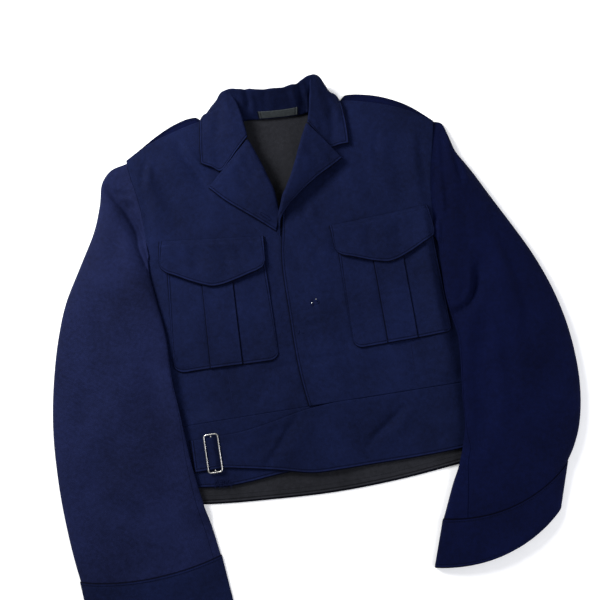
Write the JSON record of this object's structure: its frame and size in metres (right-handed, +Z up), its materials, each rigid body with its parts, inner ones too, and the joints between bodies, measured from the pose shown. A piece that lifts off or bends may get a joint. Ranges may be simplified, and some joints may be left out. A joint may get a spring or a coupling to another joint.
{
  "type": "battledress jacket",
  "caption": "Short wool battledress jacket laid flat on its back, with notched collar, pleated flap pockets and a buckled waistband.",
  "frame": {"origin": "centre of the laid jacket's plan, on the surface it lies on", "axes": "+X to the viewer's right (the wearer's left), +Y from hem to collar, +Z up off the surface"},
  "size_m": [0.7728, 0.7652, 0.0417],
  "materials": {
    "serge": "matt navy wool serge",
    "lining": "charcoal cotton twill lining",
    "tape": "dark woven tape",
    "steel": "plated wire"
  },
  "bodies": {
    "root": {"back": "serge", "back_lining": "lining", "buckle": "steel", "collar": "serge", "cuff_left": "serge", "cuff_right": "serge", "flap_left": "serge", "flap_right": "serge", "front_left": "serge", "front_right": "serge", "hanger_loop": "tape", "lapel_left": "serge", "lapel_right": "serge", "pocket_left": "serge", "pocket_right": "serge", "shoulder_strap_left": "serge", "shoulder_strap_right": "serge", "sleeve_top_left": "serge", "sleeve_top_right": "serge", "sleeve_under_left": "serge", "sleeve_under_right": "serge", "waistband_back": "serge", "waistband_left": "serge", "waistband_right": "serge"}
  },
  "joints": []
}
